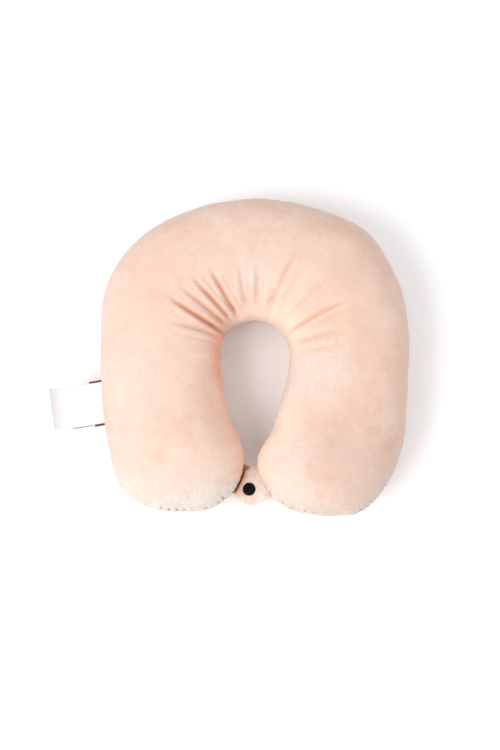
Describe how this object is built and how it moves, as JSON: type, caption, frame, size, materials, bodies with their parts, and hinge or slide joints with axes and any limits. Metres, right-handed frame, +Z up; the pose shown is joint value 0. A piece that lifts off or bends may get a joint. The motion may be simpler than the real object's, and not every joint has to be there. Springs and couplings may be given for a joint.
{
  "type": "neck pillow",
  "caption": "U-shaped travel neck pillow in soft velour, two round lobes in front closed by fabric tabs and a plastic snap, with a sewn-in side label.",
  "frame": {"origin": "centre of the neck opening, on the plane that the pillow rests on", "axes": "+Z up, out of the neck opening; +Y to the back of the neck; -Y to the snap between the lobes; +X to the arm that carries the upper tab"},
  "size_m": [0.3495, 0.3078, 0.1],
  "materials": {
    "velour": "matte",
    "bag_cloth": "matte",
    "filling": "matte",
    "snap_plastic": "matte",
    "care_satin": "satin",
    "woven_tape": "matte"
  },
  "bodies": {
    "left_half": {"cover_top_left": "velour", "cover_bottom_left": "velour", "inner_bag_top_left": "bag_cloth", "inner_bag_bottom_left": "bag_cloth", "filling_left": "filling"},
    "right_half": {"cover_top_right": "velour", "cover_bottom_right": "velour", "inner_bag_top_right": "bag_cloth", "inner_bag_bottom_right": "bag_cloth", "filling_right": "filling"},
    "upper_tab": {"upper_tab_face": "velour", "upper_tab_backing": "velour", "snap_cap_upper": "snap_plastic", "snap_socket": "snap_plastic"},
    "lower_tab": {"lower_tab_face": "velour", "lower_tab_backing": "velour", "snap_stud": "snap_plastic", "snap_cap_lower": "snap_plastic"},
    "care_front": {"care_label_front": "care_satin"},
    "care_back": {"care_label_back": "care_satin", "woven_label": "woven_tape"}
  },
  "joints": [
    {"name": "arm_spread", "type": "hinge", "parent": "left_half", "child": "right_half", "pos_m": [0, 0.153, 0.05], "axis": [0, 0, 1], "range_deg": [0, 30], "stiffness_Nm_per_rad": 3},
    {"name": "upper_tab_lift", "type": "hinge", "parent": "right_half", "child": "upper_tab", "pos_m": [0.00585, -0.12562, 0.04996], "axis": [-0.3929, 0.9135, -0.1053], "range_deg": [0, 70], "stiffness_Nm_per_rad": 0.03},
    {"name": "lower_tab_fold", "type": "hinge", "parent": "left_half", "child": "lower_tab", "pos_m": [-0.01577, -0.12481, 0.03661], "axis": [0.4006, 0.91, 0.1073], "range_deg": [0, 60], "stiffness_Nm_per_rad": 0.03},
    {"name": "care_label_front_lift", "type": "hinge", "parent": "left_half", "child": "care_front", "pos_m": [-0.1493, -0.04853, 0.04997], "axis": [-0.1132, 0.9936, 0], "range_deg": [0, 75], "stiffness_Nm_per_rad": 0.002},
    {"name": "care_label_back_drop", "type": "hinge", "parent": "left_half", "child": "care_back", "pos_m": [-0.1493, -0.04853, 0.04997], "axis": [0.1132, -0.9936, 0], "range_deg": [0, 60], "stiffness_Nm_per_rad": 0.004}
  ]
}
